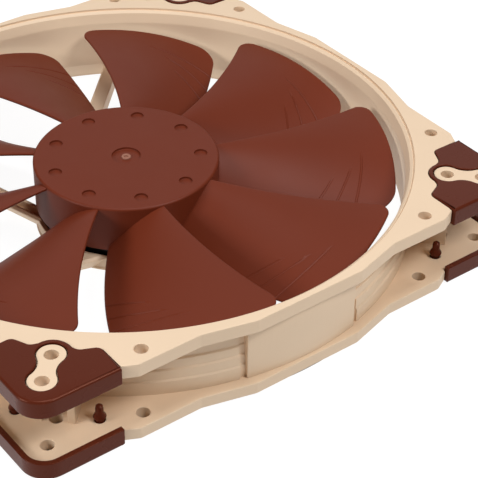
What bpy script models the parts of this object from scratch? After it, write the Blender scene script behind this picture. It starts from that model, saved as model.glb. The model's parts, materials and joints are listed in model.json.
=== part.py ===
"""Case fan, 200 x 200 x 30 mm: moulded frame, nine-bladed impeller, rubber corner pads and motor.

The origin is on the rotor's axis, in the plane that the fan rests on. +Z points to the intake side.
All lengths below are in millimetres and become metres through MM.
"""
import math

import bmesh
import bpy
from mathutils import Matrix, Vector

MM = 0.001
GAP = 0.3                      # clearance between neighbouring pieces

# Frame
FAN_DEPTH = 30.0
PAD_PROUD = 0.5                # rubber pads stand this far past the flange faces
FACE_TOP = FAN_DEPTH - PAD_PROUD
FACE_BOTTOM = PAD_PROUD
TOP_FLANGE = 4.9
BOTTOM_FLANGE = 4.2
TOP_INNER = FACE_TOP - TOP_FLANGE
BOTTOM_INNER = FACE_BOTTOM + BOTTOM_FLANGE
SIDE_FLAT = (20.0, 100.0)      # half length and distance of the flat in the middle of a side
SIDE_LOW = (37.5, 59.3, 95.3)  # start, end and distance of the lower stretch beside it
SIDE_LEAN = 0.08               # the lower stretch runs in by this much towards the corner
SIDE_END = (64.0, 93.0)        # where the side meets the corner seat
SEAT_HALF = 92.2               # half width of the frame inside the corner pads
SEAT_RADIUS = 6.0
HOLE_RADIUS = 2.15
HOLE_INNER = 77.0              # 154 mm square pattern
HOLE_OUTER = 85.0              # 170 mm square pattern
HOLE_SIDE = (55.0, 90.0)       # 110 x 180 mm pattern
PEG_SPOT = (67.0, 85.0)
PEG_HOLE_RADIUS = 1.75
THROAT = 95.3
MOUTH = 98.1
LEDGE = 96.4
OUTLET = 98.0
PANEL_RADIUS = 98.7
PANEL_HALF_ANGLE = 12.4
GROOVE_WIDTH = 2.2
GROOVE_FLOOR = 96.1
RIB_OFFSET = 5.0               # corner ribs stand this far either side of the diagonal
RIB_THICKNESS = 3.0
RIB_REACH = 110.6

# Struts between the ring and the motor cup
STRUT_COUNT = 6
STRUT_ANGLE = 46.0
STRUT_SECTION = ((20.3, 0.6), (23.7, 0.6), (26.4, 5.0), (25.4, 6.0), (20.3, 6.0))
CABLE_STRUT = 1                # index of the strut that has the wire channel

# Motor cup of the frame
CUP_RADIUS = 31.8
CUP_RIM = 5.4
CUP_WALL = 1.6
CUP_FLOOR = (1.0, 2.5)
LABEL_RADIUS = 26.5
TUBE_RADIUS = 5.0
TUBE_BORE = 3.8

# Corner pads
PAD_OUTER = 94.3
PAD_RADIUS = 8.5
PAD_END = 64.6
PAD_INNER_CIRCLE = 106.0
PAD_BUMP = 3.3
PAD_BUMP_WIDTH = 2.2
PAD_PLATE = 2.5
PAD_HEIGHT = 6.2
LOBE_RADIUS = 4.3
LOBE_SPACING = (HOLE_OUTER - HOLE_INNER) * math.sqrt(2.0)
LOBE_WAIST = 2.8
PEG_NECK = 1.4
PEG_BARB = 2.1
PEG_PIN = 1.25
PEG_REACH = 5.2

# Impeller
HUB_RADIUS = 31.8
HUB_WALL = 2.0
HUB_BOTTOM = 8.8
HUB_TOP = 25.8
DIMPLE_RADIUS = 2.3
DIMPLE_PITCH = 25.5
DIMPLE_ANGLE = 87.4
BLADE_COUNT = 9
BLADE_TIP = 92.5
BLADE_ROOT = 30.9
BLADE_ANGLE = -60.4            # leading edge of the first blade at the hub, in degrees
BLADE_LEAD_SWEEP = 8.0
BLADE_CHORD_ROOT = 35.0
BLADE_TRAIL_SWEEP = 9.85
BLADE_LEAD_Z = (25.1, 23.8)
BLADE_TRAIL_Z = (10.3, -4.0, 9.1)
BLADE_CAMBER = (1.65, 2.2)
BLADE_THICK = (1.7, 1.2)
LEAD_CORNER = (4.5, 0.085)     # rounding at the tip, in mm and as a share of the chord
TRAIL_CORNER = (8.0, 0.16)

# Rotor and stator
YOKE = (29.5, 28.5, 4.0, 23.5)             # outer radius, inner radius, bottom, top
MAGNET = (28.2, 25.8, 8.0, 21.5)
SHAFT_RADIUS = 1.5
SHAFT_Z = (3.3, 23.4)
CORE_Z = (10.5, 16.5)
CORE_RADIUS = 25.3
POLE_COUNT = 4
POLE_WIDTH = 7.0
BOARD = (27.0, 7.9, 3.4, 5.0)              # radius, hole, bottom, top

COLOURS = {
    "frame_plastic": ((0.80, 0.62, 0.45), 0.45, 0.0),
    "impeller_plastic": ((0.19, 0.050, 0.030), 0.38, 0.0),
    "pad_rubber": ((0.10, 0.022, 0.012), 0.55, 0.0),
    "steel": ((0.42, 0.42, 0.43), 0.35, 1.0),
    "shaft_steel": ((0.70, 0.70, 0.72), 0.2, 1.0),
    "magnet": ((0.05, 0.05, 0.055), 0.6, 0.1),
    "brass": ((0.70, 0.50, 0.22), 0.3, 1.0),
    "bronze": ((0.55, 0.33, 0.17), 0.4, 1.0),
    "nylon": ((0.75, 0.73, 0.68), 0.5, 0.0),
    "copper": ((0.72, 0.30, 0.13), 0.3, 1.0),
    "board": ((0.02, 0.10, 0.04), 0.45, 0.0),
    "chip": ((0.02, 0.02, 0.02), 0.5, 0.0),
    "label_film": ((0.75, 0.70, 0.62), 0.5, 0.0),
}


def clear_scene():
    for obj in list(bpy.data.objects):
        bpy.data.objects.remove(obj, do_unlink=True)


def make_collection(name):
    collection = bpy.data.collections.new(name)
    bpy.context.scene.collection.children.link(collection)
    return collection


def make_materials():
    made = {}
    for name, (colour, roughness, metallic) in COLOURS.items():
        material = bpy.data.materials.new(name)
        material.use_nodes = True
        shader = material.node_tree.nodes["Principled BSDF"]
        shader.inputs["Base Color"].default_value = (*colour, 1.0)
        shader.inputs["Roughness"].default_value = roughness
        shader.inputs["Metallic"].default_value = metallic
        made[name] = material
    return made


clear_scene()
PARTS = make_collection("case_fan")
CUTTERS = make_collection("case_fan_cutters")
MATERIALS = make_materials()


def polar(radius, degrees):
    angle = math.radians(degrees)
    return (radius * math.cos(angle), radius * math.sin(angle))


def arc(centre, radius, start, end, count):
    """Points on an arc, both ends included."""
    points = []
    for i in range(count + 1):
        x, y = polar(radius, start + (end - start) * i / count)
        points.append((centre[0] + x, centre[1] + y))
    return points


def circle(centre, radius, count):
    return arc(centre, radius, 0.0, 360.0, count)[:-1]


def turned_quarters(points):
    """A quarter outline repeated at 90 degree steps."""
    whole = []
    for quarter in range(4):
        turn = Matrix.Rotation(math.radians(90 * quarter), 2)
        whole += [tuple(turn @ Vector(p)) for p in points]
    return whole


def place(obj, node=True, material=None):
    """Links an object as a part, or as a hidden tool for a Boolean."""
    collection = PARTS if node else CUTTERS
    collection.objects.link(obj)
    if not node:
        obj.hide_render = True
        obj.display_type = "WIRE"
    if material:
        obj.data.materials.clear()
        obj.data.materials.append(MATERIALS[material])
    return obj


def smooth(obj, angle=35.0):
    obj.data.shade_smooth()
    obj.data.set_sharp_from_angle(angle=math.radians(angle))
    return obj


def plate(name, loops, z0, z1, node=False, material=None):
    """A flat outline, with any holes, extruded from z0 to z1."""
    curve = bpy.data.curves.new(name + "_outline", "CURVE")
    curve.dimensions = "2D"
    curve.fill_mode = "BOTH"
    curve.extrude = (z1 - z0) / 2 * MM
    for loop in loops:
        spline = curve.splines.new("POLY")
        spline.points.add(len(loop) - 1)
        for point, (x, y) in zip(spline.points, loop):
            point.co = (x * MM, y * MM, 0.0, 1.0)
        spline.use_cyclic_u = True
    outline = bpy.data.objects.new(name + "_outline", curve)
    bpy.context.scene.collection.objects.link(outline)
    bpy.context.view_layer.update()
    depsgraph = bpy.context.evaluated_depsgraph_get()
    mesh = bpy.data.meshes.new_from_object(outline.evaluated_get(depsgraph))
    bpy.data.objects.remove(outline, do_unlink=True)
    mesh.transform(Matrix.Translation((0, 0, (z0 + z1) / 2 * MM)))
    weld(mesh)
    mesh.name = name
    return place(bpy.data.objects.new(name, mesh), node, material)


def weld(mesh, distance=0.002):
    bm = bmesh.new()
    bm.from_mesh(mesh)
    bmesh.ops.remove_doubles(bm, verts=bm.verts, dist=distance * MM)
    bmesh.ops.recalc_face_normals(bm, faces=bm.faces)
    bm.to_mesh(mesh)
    bm.free()


def turned(name, profile, steps, node=False, material=None):
    """A closed profile of (radius, z), turned about the Z axis; its outer side runs downwards."""
    mesh = bpy.data.meshes.new(name)
    verts = [(r * MM, 0.0, z * MM) for r, z in profile]
    edges = [(i, (i + 1) % len(verts)) for i in range(len(verts))]
    mesh.from_pydata(verts, edges, [])
    obj = place(bpy.data.objects.new(name, mesh), node, material)
    screw = obj.modifiers.new("turn", "SCREW")
    screw.steps = steps
    screw.render_steps = steps
    screw.use_merge_vertices = True
    screw.merge_threshold = 0.00001
    screw.use_smooth_shade = True
    return obj


def rod(name, centre, radius, z0, z1, sides, node=False, material=None, top_radius=None):
    bm = bmesh.new()
    top = radius if top_radius is None else top_radius
    bmesh.ops.create_cone(bm, cap_ends=True, segments=sides, radius1=radius * MM,
                          radius2=top * MM, depth=(z1 - z0) * MM)
    bmesh.ops.translate(bm, verts=bm.verts,
                        vec=(centre[0] * MM, centre[1] * MM, (z0 + z1) / 2 * MM))
    return finish_bmesh(bm, name, node, material)


def box(name, low, high, node=False, material=None):
    bm = bmesh.new()
    bmesh.ops.create_cube(bm, size=1.0)
    size = [(h - l) * MM for l, h in zip(low, high)]
    middle = [(h + l) / 2 * MM for l, h in zip(low, high)]
    bmesh.ops.scale(bm, verts=bm.verts, vec=size)
    bmesh.ops.translate(bm, verts=bm.verts, vec=middle)
    return finish_bmesh(bm, name, node, material)


def finish_bmesh(bm, name, node, material):
    mesh = bpy.data.meshes.new(name)
    bm.to_mesh(mesh)
    bm.free()
    return place(bpy.data.objects.new(name, mesh), node, material)


def combine(target, tool, operation):
    modifier = target.modifiers.new(tool.name, "BOOLEAN")
    modifier.operation = operation
    modifier.solver = "EXACT"
    modifier.object = tool


def joined(name, objects):
    """One hidden tool that holds several separate bodies."""
    bpy.context.view_layer.update()
    depsgraph = bpy.context.evaluated_depsgraph_get()
    bm = bmesh.new()
    for obj in objects:
        mesh = bpy.data.meshes.new_from_object(obj.evaluated_get(depsgraph))
        mesh.transform(obj.matrix_world)
        bm.from_mesh(mesh)
        bpy.data.meshes.remove(mesh)
        bpy.data.objects.remove(obj, do_unlink=True)
    return finish_bmesh(bm, name, False, None)


def frame_outline():
    """Outline of both flanges, with the corners stepped in under the pads."""
    inner_end = SIDE_LOW[2] + SIDE_LEAN
    side = [(-SIDE_LOW[1], -SIDE_LOW[2]), (-SIDE_LOW[0], -inner_end),
            (-SIDE_FLAT[0], -SIDE_FLAT[1]), (SIDE_FLAT[0], -SIDE_FLAT[1]),
            (SIDE_LOW[0], -inner_end), (SIDE_LOW[1], -SIDE_LOW[2]),
            (SIDE_END[0], -SIDE_END[1]), (SIDE_END[0], -SEAT_HALF)]
    middle = SEAT_HALF - SEAT_RADIUS
    corner = arc((middle, -middle), SEAT_RADIUS, -90, 0, 5)
    return turned_quarters(side + corner + [(SEAT_HALF, -SIDE_END[0])])


def screw_holes(sides=10):
    spots = [(HOLE_INNER, -HOLE_INNER), (HOLE_OUTER, -HOLE_OUTER),
             (HOLE_SIDE[0], -HOLE_SIDE[1]), (HOLE_SIDE[1], -HOLE_SIDE[0])]
    loops = [circle(spot, HOLE_RADIUS, sides) for spot in turned_quarters(spots)]
    pegs = turned_quarters([(PEG_SPOT[0], -PEG_SPOT[1]), (PEG_SPOT[1], -PEG_SPOT[0])])
    return loops + [circle(spot, PEG_HOLE_RADIUS, 8) for spot in pegs]


def island(grow, count=4):
    """The two-lobed island round a corner's holes, along +X from the inner hole's distance."""
    radius = LOBE_RADIUS + grow
    waist = LOBE_WAIST + grow
    half = LOBE_SPACING / 2
    fillet = (half ** 2 + waist ** 2 - radius ** 2) / (2 * (radius - waist))
    lean = math.degrees(math.atan2(waist + fillet, half))
    middle = (HOLE_INNER + HOLE_OUTER) / math.sqrt(2.0)
    outer = arc((middle + half, 0), radius, lean - 180, 180 - lean, 2 * count)
    upper = arc((middle, waist + fillet), fillet, -lean, lean - 180, count)[1:-1]
    inner = arc((middle - half, 0), radius, lean, 360 - lean, 2 * count)
    lower = arc((middle, -waist - fillet), fillet, 180 - lean, lean, count)[1:-1]
    return outer + upper + inner + lower


def pad_inner_radius(off_diagonal):
    return PAD_INNER_CIRCLE - PAD_BUMP * math.exp(-(off_diagonal / PAD_BUMP_WIDTH) ** 2)


def pad_outline(grow, outer_only=False):
    """A pad's outline in a frame whose +X is the corner's diagonal."""
    outer = PAD_OUTER + (3.0 if outer_only else 0.0)
    radius = PAD_RADIUS
    end = PAD_END - grow
    middle = outer - radius
    square = [(end, outer)] + [(end, math.sqrt((PAD_INNER_CIRCLE - grow) ** 2 - end ** 2))]
    turn = Matrix.Rotation(math.radians(-45), 2)
    start_point = turn @ Vector(square[1])
    widest = math.degrees(math.atan2(start_point.y, start_point.x))
    steps = 12
    inner = []
    for i in range(steps + 1):
        angle = widest * (1 - 2 * i / steps)
        inner.append(polar(pad_inner_radius(angle) - grow, angle))
    rounded = arc((middle, middle), radius, 0, 90, 5)
    shell = [tuple(turn @ Vector(p)) for p in [(outer, end)] + rounded + [(end, outer)]]
    return shell + inner


def turn_loop(loop, degrees):
    turn = Matrix.Rotation(math.radians(degrees), 2)
    return [tuple(turn @ Vector(p)) for p in loop]


def make_flange(name, z0, z1, inner_face_up):
    """One flange: holes all through, and a seat for each corner pad on its outer face."""
    flange = plate(name, [frame_outline(), circle((0, 0), THROAT - 2.6, 60)] + screw_holes(), z0, z1)
    depth = PAD_PLATE - PAD_PROUD + GAP
    seat = (z0 - 2.0, z0 + depth) if inner_face_up else (z1 - depth, z1 + 2.0)
    seats = []
    for corner in range(4):
        turn = 45 + 90 * corner
        loops = [turn_loop(pad_outline(GAP, True), turn), turn_loop(island(0.0), turn)]
        seats.append(plate(f"{name}_seat_{corner + 1}", loops, *seat))
    combine(flange, joined(name + "_seats", seats), "DIFFERENCE")
    return flange


def make_ring():
    """The tunnel wall between the flanges, stepped on its outside."""
    low = BOTTOM_INNER - 0.6
    high = TOP_INNER + 0.6
    profile = [(96.6, high), (96.6, 17.7), (97.2, 17.3), (97.2, 13.7), (97.7, 13.2),
               (97.7, 9.5), (98.2, 9.1), (98.2, low), (THROAT - 2.0, low), (THROAT - 2.0, high)]
    ring = turned("ring", profile, 64)
    grooves = []
    for side in range(4):
        for sign in (-1, 1):
            angle = 90 * side + sign * (PANEL_HALF_ANGLE + 0.55)
            groove = box("groove", (GROOVE_FLOOR, -GROOVE_WIDTH / 2, 0), (104, GROOVE_WIDTH / 2, 30))
            groove.data.transform(Matrix.Rotation(math.radians(angle), 4, "Z"))
            grooves.append(groove)
    combine(ring, joined("ring_grooves", grooves), "DIFFERENCE")
    panels = []
    for side in range(4):
        start = 90 * side - PANEL_HALF_ANGLE
        end = 90 * side + PANEL_HALF_ANGLE
        loop = arc((0, 0), PANEL_RADIUS, start, end, 8) + arc((0, 0), 94.5, end, start, 8)
        panels.append(plate("panel", [loop], low + 0.1, high - 0.1))
    combine(ring, joined("ring_panels", panels), "UNION")
    return ring


def make_ribs():
    """Two upright ribs in each corner, which keep the flanges apart under the screws."""
    ribs = []
    for corner in range(4):
        for sign in (-1, 1):
            side = sign * RIB_OFFSET
            rib = box("rib", (96.0, side - RIB_THICKNESS / 2, BOTTOM_INNER - 0.5),
                      (RIB_REACH, side + RIB_THICKNESS / 2, TOP_INNER + 0.5))
            rib.data.transform(Matrix.Rotation(math.radians(45 + 90 * corner), 4, "Z"))
            ribs.append(rib)
    return joined("corner_ribs", ribs)


def make_bore():
    """Cutter for the air path: stepped mouth, straight throat and flared outlet."""
    profile = [(MOUTH, FAN_DEPTH + 1), (MOUTH, FACE_TOP - 0.5), (LEDGE, FACE_TOP - 1.6),
               (THROAT, FACE_TOP - 3.2), (THROAT, 6.5), (OUTLET, FACE_BOTTOM),
               (OUTLET, -1.0), (80.0, -1.0), (80.0, FAN_DEPTH + 1)]
    return turned("bore", profile, 72)


def make_struts():
    """Straight struts that leave the cup at a slant; their ends stop inside the ring."""
    struts = []
    for index in range(STRUT_COUNT):
        bm = bmesh.new()
        near = [bm.verts.new((12.0 * MM, y * MM, z * MM)) for y, z in STRUT_SECTION]
        face = bm.faces.new(near)
        extruded = bmesh.ops.extrude_face_region(bm, geom=[face])
        moved = [g for g in extruded["geom"] if isinstance(g, bmesh.types.BMVert)]
        bmesh.ops.translate(bm, verts=moved, vec=(86.0 * MM, 0, 0))
        bmesh.ops.recalc_face_normals(bm, faces=bm.faces)
        turn = Matrix.Rotation(math.radians(STRUT_ANGLE + 60 * index), 4, "Z")
        bmesh.ops.transform(bm, matrix=turn, verts=bm.verts)
        struts.append(finish_bmesh(bm, "strut", False, None))
    whole = joined("struts", struts)
    limit = [(95.9, 8.0), (95.9, 4.4), (98.9, 4.4), (98.9, -1.0), (30.6, -1.0), (30.6, 8.0)]
    combine(whole, turned("strut_limit", limit, 72), "INTERSECT")
    return whole


def make_cup():
    """The dish that holds the motor, with a boss for the bearing tube."""
    inside = CUP_RADIUS - CUP_WALL
    hole = TUBE_RADIUS + GAP
    profile = [(hole, 5.5), (hole + 2.2, 5.5), (hole + 2.2, CUP_FLOOR[1]), (inside, CUP_FLOOR[1]),
               (inside, CUP_RIM), (CUP_RADIUS, CUP_RIM), (CUP_RADIUS, 1.6), (32.2, 1.1),
               (32.2, FACE_BOTTOM), (LABEL_RADIUS + 0.5, FACE_BOTTOM),
               (LABEL_RADIUS + 0.5, CUP_FLOOR[0]), (hole, CUP_FLOOR[0])]
    return turned("motor_cup", profile, 48)


def make_wire_channel():
    """Cutter for the wires' way out: a notch in the cup's rim and a channel in one strut."""
    channel = box("wire_channel", (11.0, 21.8, 2.9), (32.0, 24.6, 8.0))
    turn = STRUT_ANGLE + 60 * CABLE_STRUT
    channel.data.transform(Matrix.Rotation(math.radians(turn), 4, "Z"))
    return channel


def make_frame():
    top = make_flange("top_flange", TOP_INNER, FACE_TOP, False)
    bottom = make_flange("bottom_flange", FACE_BOTTOM, BOTTOM_INNER, True)
    frame = bpy.data.objects.new("frame", top.data)
    place(frame, True, "frame_plastic")
    for modifier in list(top.modifiers):
        combine(frame, modifier.object, "DIFFERENCE")
    bpy.data.objects.remove(top, do_unlink=True)
    combine(frame, bottom, "UNION")
    combine(frame, make_ring(), "UNION")
    combine(frame, make_ribs(), "UNION")
    combine(frame, make_bore(), "DIFFERENCE")
    combine(frame, make_struts(), "UNION")
    combine(frame, make_cup(), "UNION")
    combine(frame, make_wire_channel(), "DIFFERENCE")
    return frame


def make_pad():
    """A corner pad for the intake side, with its plate up and two pegs down."""
    top = FAN_DEPTH
    under = top - PAD_PLATE
    wall = SEAT_HALF + GAP
    pad = plate("pad_intake_1", [turn_loop(pad_outline(0.0), 45), turn_loop(island(0.4), 45)],
                top - PAD_HEIGHT, top, True, "pad_rubber")
    corner = wall - SEAT_RADIUS - GAP
    rounded = arc((corner, corner), SEAT_RADIUS + GAP, 0, 90, 4)
    hollow = [(40.0, 40.0), (wall, 40.0)] + rounded + [(40.0, wall)]
    combine(pad, plate("pad_hollow", [hollow], top - PAD_HEIGHT - 2, under), "DIFFERENCE")
    pegs = []
    for x, y in (PEG_SPOT, PEG_SPOT[::-1]):
        inner_face = TOP_INNER - GAP
        profile = [(0.0, under + 0.6), (PEG_NECK, under + 0.6), (PEG_NECK, inner_face),
                   (PEG_BARB, inner_face - 0.3), (PEG_PIN, inner_face - 2.0),
                   (PEG_PIN, TOP_INNER - PEG_REACH + 0.6), (PEG_PIN * 0.6, TOP_INNER - PEG_REACH),
                   (0.0, TOP_INNER - PEG_REACH)]
        peg = turned("peg", profile, 8)
        peg.location = (x * MM, y * MM, 0)
        pegs.append(peg)
    combine(pad, joined("pad_pegs", pegs), "UNION")
    return pad


def make_pads():
    """Eight pads from one shape: four turned copies on each side."""
    first = make_pad()
    diagonal = Vector((1, 1, 0)).normalized()
    flip = (Matrix.Translation((0, 0, FAN_DEPTH / 2 * MM)) @ Matrix.Rotation(math.pi, 4, diagonal)
            @ Matrix.Translation((0, 0, -FAN_DEPTH / 2 * MM)))
    bpy.context.view_layer.update()
    depsgraph = bpy.context.evaluated_depsgraph_get()
    shape = bpy.data.meshes.new_from_object(first.evaluated_get(depsgraph))
    shape.name = "corner_pad"
    first.modifiers.clear()
    first.data = shape
    smooth(first)
    for side, start in (("intake", Matrix.Identity(4)), ("outlet", flip)):
        for corner in range(4):
            turn = Matrix.Rotation(math.radians(90 * corner), 4, "Z")
            name = f"pad_{side}_{corner + 1}"
            pad = first
            if name != first.name:
                pad = place(bpy.data.objects.new(name, shape))
            pad.matrix_world = turn @ start


def blade_point(share, along, lower):
    """A point of the first blade; share runs from leading to trailing edge, along from hub to tip."""
    tip = BLADE_TIP
    if share < LEAD_CORNER[1]:
        reach = 1 - share / LEAD_CORNER[1]
        tip -= LEAD_CORNER[0] * (1 - math.sqrt(1 - reach ** 2))
    if share > 1 - TRAIL_CORNER[1]:
        reach = (share - 1) / TRAIL_CORNER[1] + 1
        tip -= TRAIL_CORNER[0] * (1 - math.sqrt(1 - reach ** 2))
    radius = BLADE_ROOT + (tip - BLADE_ROOT) * along
    out = max(0.0, (radius - HUB_RADIUS) / (BLADE_TIP - HUB_RADIUS))
    lead = BLADE_ANGLE + BLADE_LEAD_SWEEP * out ** 1.2
    trail = BLADE_ANGLE - BLADE_CHORD_ROOT + BLADE_TRAIL_SWEEP * out
    lead_z = BLADE_LEAD_Z[0] + (BLADE_LEAD_Z[1] - BLADE_LEAD_Z[0]) * out
    trail_z = BLADE_TRAIL_Z[0] + BLADE_TRAIL_Z[1] * out + BLADE_TRAIL_Z[2] * out ** 2
    camber = BLADE_CAMBER[0] + (BLADE_CAMBER[1] - BLADE_CAMBER[0]) * out
    x, y = polar(radius, lead + (trail - lead) * share)
    z = lead_z - (lead_z - trail_z) * share ** camber
    thick = BLADE_THICK[0] + (BLADE_THICK[1] - BLADE_THICK[0]) * out
    profile = 0.45 + 0.55 * math.sin(math.pi * min(1.0, share * 0.75 + 0.2))
    return Vector((x, y, z - (thick * profile if lower else 0.0))) * MM


def blade_shell(chord_steps=10, span_steps=6):
    """One blade as a closed shell between its upper and lower surface."""
    bm = bmesh.new()
    sides = []
    for lower in (False, True):
        grid = []
        for i in range(chord_steps + 1):
            share = (1 - math.cos(math.pi * i / chord_steps)) / 2
            grid.append([bm.verts.new(blade_point(share, j / span_steps, lower))
                         for j in range(span_steps + 1)])
        sides.append(grid)
    upper, under = sides
    for i in range(chord_steps):
        for j in range(span_steps):
            bm.faces.new((upper[i][j], upper[i][j + 1], upper[i + 1][j + 1], upper[i + 1][j]))
            bm.faces.new((under[i][j], under[i + 1][j], under[i + 1][j + 1], under[i][j + 1]))
        for j in (0, span_steps):
            bm.faces.new((upper[i][j], upper[i + 1][j], under[i + 1][j], under[i][j]))
    for j in range(span_steps):
        for i in (0, chord_steps):
            bm.faces.new((upper[i][j], under[i][j], under[i][j + 1], upper[i][j + 1]))
    bmesh.ops.recalc_face_normals(bm, faces=bm.faces)
    return bm


def make_impeller():
    """Hub cap with nine blades, in one moulding."""
    inside = HUB_RADIUS - HUB_WALL
    under = HUB_TOP - 2.0
    profile = [(0.0, HUB_TOP), (HUB_RADIUS - 0.8, HUB_TOP), (HUB_RADIUS, HUB_TOP - 0.8),
               (HUB_RADIUS, HUB_BOTTOM), (inside, HUB_BOTTOM), (inside, under), (0.0, under)]
    hub = turned("impeller", profile, 60, True, "impeller_plastic")
    blades = []
    for index in range(BLADE_COUNT):
        blade = finish_bmesh(blade_shell(), "blade", False, None)
        blade.data.transform(Matrix.Rotation(math.radians(360 * index / BLADE_COUNT), 4, "Z"))
        blades.append(blade)
    combine(hub, joined("blades", blades), "UNION")
    dimples = []
    for index in range(BLADE_COUNT):
        spot = polar(DIMPLE_PITCH, DIMPLE_ANGLE + 360 * index / BLADE_COUNT)
        dimples.append(rod("dimple", spot, DIMPLE_RADIUS, HUB_TOP - 0.6, HUB_TOP + 1, 10))
    dimples.append(rod("dimple", (0, 0), 5.1, HUB_TOP - 0.5, HUB_TOP + 1, 24))
    combine(hub, joined("dimples", dimples), "DIFFERENCE")
    return hub


def washer(name, outer, inner, z0, z1, steps, material):
    profile = [(inner, z1), (outer, z1), (outer, z0), (inner, z0)]
    return turned(name, profile, steps, True, material)


def make_rotor():
    outer, inner, low, high = YOKE
    hole = SHAFT_RADIUS + GAP
    yoke = [(hole, high), (outer - 0.6, high), (outer, high - 0.6), (outer, low), (inner, low),
            (inner, high - 1.0), (hole, high - 1.0)]
    turned("rotor_cup", yoke, 48, True, "steel")
    washer("magnet_ring", *MAGNET, 48, "magnet")
    washer("shaft_boss", 4.5, hole, 19.8, high - 1.0 - GAP, 24, "brass")
    washer("shaft_clip", 3.2, hole, 18.8, 19.2, 20, "steel")
    low, high = SHAFT_Z
    profile = [(0.0, high), (SHAFT_RADIUS - 0.3, high), (SHAFT_RADIUS, high - 0.3),
               (SHAFT_RADIUS, low + 0.4), (SHAFT_RADIUS - 0.4, low), (0.0, low)]
    turned("shaft", profile, 20, True, "shaft_steel")


def make_bearing():
    tube = [(TUBE_BORE, 19.5), (TUBE_RADIUS, 19.5), (TUBE_RADIUS, 1.3), (0.0, 1.3), (0.0, 2.1),
            (TUBE_BORE, 2.1)]
    turned("bearing_tube", tube, 28, True, "brass")
    rod("thrust_pad", (0, 0), TUBE_BORE - GAP, 2.4, 3.0, 20, True, "nylon")
    sleeve = [(SHAFT_RADIUS + GAP, 17.5), (3.1, 17.5), (TUBE_BORE - GAP, 17.1), (TUBE_BORE - GAP, 3.7),
              (3.1, 3.3), (SHAFT_RADIUS + GAP, 3.3)]
    turned("bearing_sleeve", sleeve, 24, True, "bronze")
    washer("oil_seal", TUBE_BORE - GAP, SHAFT_RADIUS + GAP, 17.8, 18.4, 20, "nylon")


def pole_outline(shoe_radius, shoe_angle, arm_width, hub_radius):
    """A stator outline: arms from a round hub, each with a wide shoe at its end."""
    half = arm_width / 2
    back = shoe_radius - 3.4
    foot = math.degrees(math.asin(half / hub_radius))
    neck = math.degrees(math.asin(half / back))
    loop = []
    for pole in range(POLE_COUNT):
        middle = 360 * pole / POLE_COUNT
        loop.append(polar(hub_radius, middle - foot))
        loop.append(polar(back, middle - neck))
        loop.append(polar(back + 1.6, middle - shoe_angle))
        loop += arc((0, 0), shoe_radius, middle - shoe_angle, middle + shoe_angle, 8)
        loop.append(polar(back + 1.6, middle + shoe_angle))
        loop.append(polar(back, middle + neck))
        loop.append(polar(hub_radius, middle + foot))
    return loop


def make_stator():
    tube_hole = circle((0, 0), TUBE_RADIUS + GAP, 24)
    low, high = CORE_Z
    plate("stator_core", [pole_outline(CORE_RADIUS, 37, POLE_WIDTH, 9.0), tube_hole], low, high,
          True, "steel")
    cover = [pole_outline(CORE_RADIUS - 0.6, 34, POLE_WIDTH, 9.0), tube_hole]
    plate("insulator_upper", cover, high + GAP, high + GAP + 1.2, True, "nylon")
    plate("insulator_lower", cover, low - GAP - 1.2, low - GAP, True, "nylon")
    for pole in range(POLE_COUNT):
        coil = box(f"coil_{pole + 1}", (10.6, -6.5, 6.2), (20.4, 6.5, 20.8), True, "copper")
        bevel = coil.modifiers.new("round", "BEVEL")
        bevel.width = 1.6 * MM
        bevel.segments = 2
        window = box("window", (9.0, -POLE_WIDTH / 2 - GAP, low - 1.8),
                     (23.0, POLE_WIDTH / 2 + GAP, high + 1.8))
        combine(coil, window, "DIFFERENCE")
        coil.rotation_euler.z = math.radians(360 * pole / POLE_COUNT)
        window.rotation_euler.z = coil.rotation_euler.z


def make_board():
    radius, hole, low, high = BOARD
    plate("circuit_board", [circle((0, 0), radius, 48), circle((0, 0), hole, 24)], low, high,
          True, "board")
    on_board = high + GAP
    box("driver_chip", (9.5, 10.0, on_board), (15.5, 15.0, on_board + 1.5), True, "chip")
    box("hall_sensor", (-1.6, 22.3, on_board), (1.6, 24.0, on_board + 1.6), True, "chip")
    box("capacitor_1", (-15.0, 10.5, on_board), (-11.8, 13.5, on_board + 2.4), True, "nylon")
    box("capacitor_2", (-11.0, 14.0, on_board), (-8.2, 17.0, on_board + 2.0), True, "nylon")
    box("resistor_1", (-15.0, -13.0, on_board), (-11.8, -11.4, on_board + 0.7), True, "chip")
    box("resistor_2", (-11.0, -15.5, on_board), (-7.8, -13.9, on_board + 0.7), True, "chip")
    for index, spot in enumerate(((9.0, -12.0), (12.0, -9.5), (13.0, -14.0))):
        rod(f"terminal_pin_{index + 1}", spot, 0.45, on_board, on_board + 3.2, 10, True, "brass")


def make_label():
    rod("base_label", (0, 0), LABEL_RADIUS, 0.5, 0.7, 64, True, "label_film")


make_frame()
make_pads()
make_impeller()
make_rotor()
make_bearing()
make_stator()
make_board()
make_label()
for part in PARTS.objects:
    smooth(part)
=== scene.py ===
"""Looks of the case fan: moulded frame, impeller, corner pads, motor, stage, lights and camera.

Lengths are in millimetres, in the frame of the CAD model, and become metres through MM.
"""
import json
import math

import bmesh
import bpy
import numpy as np
from mathutils import Matrix, Vector


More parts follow.
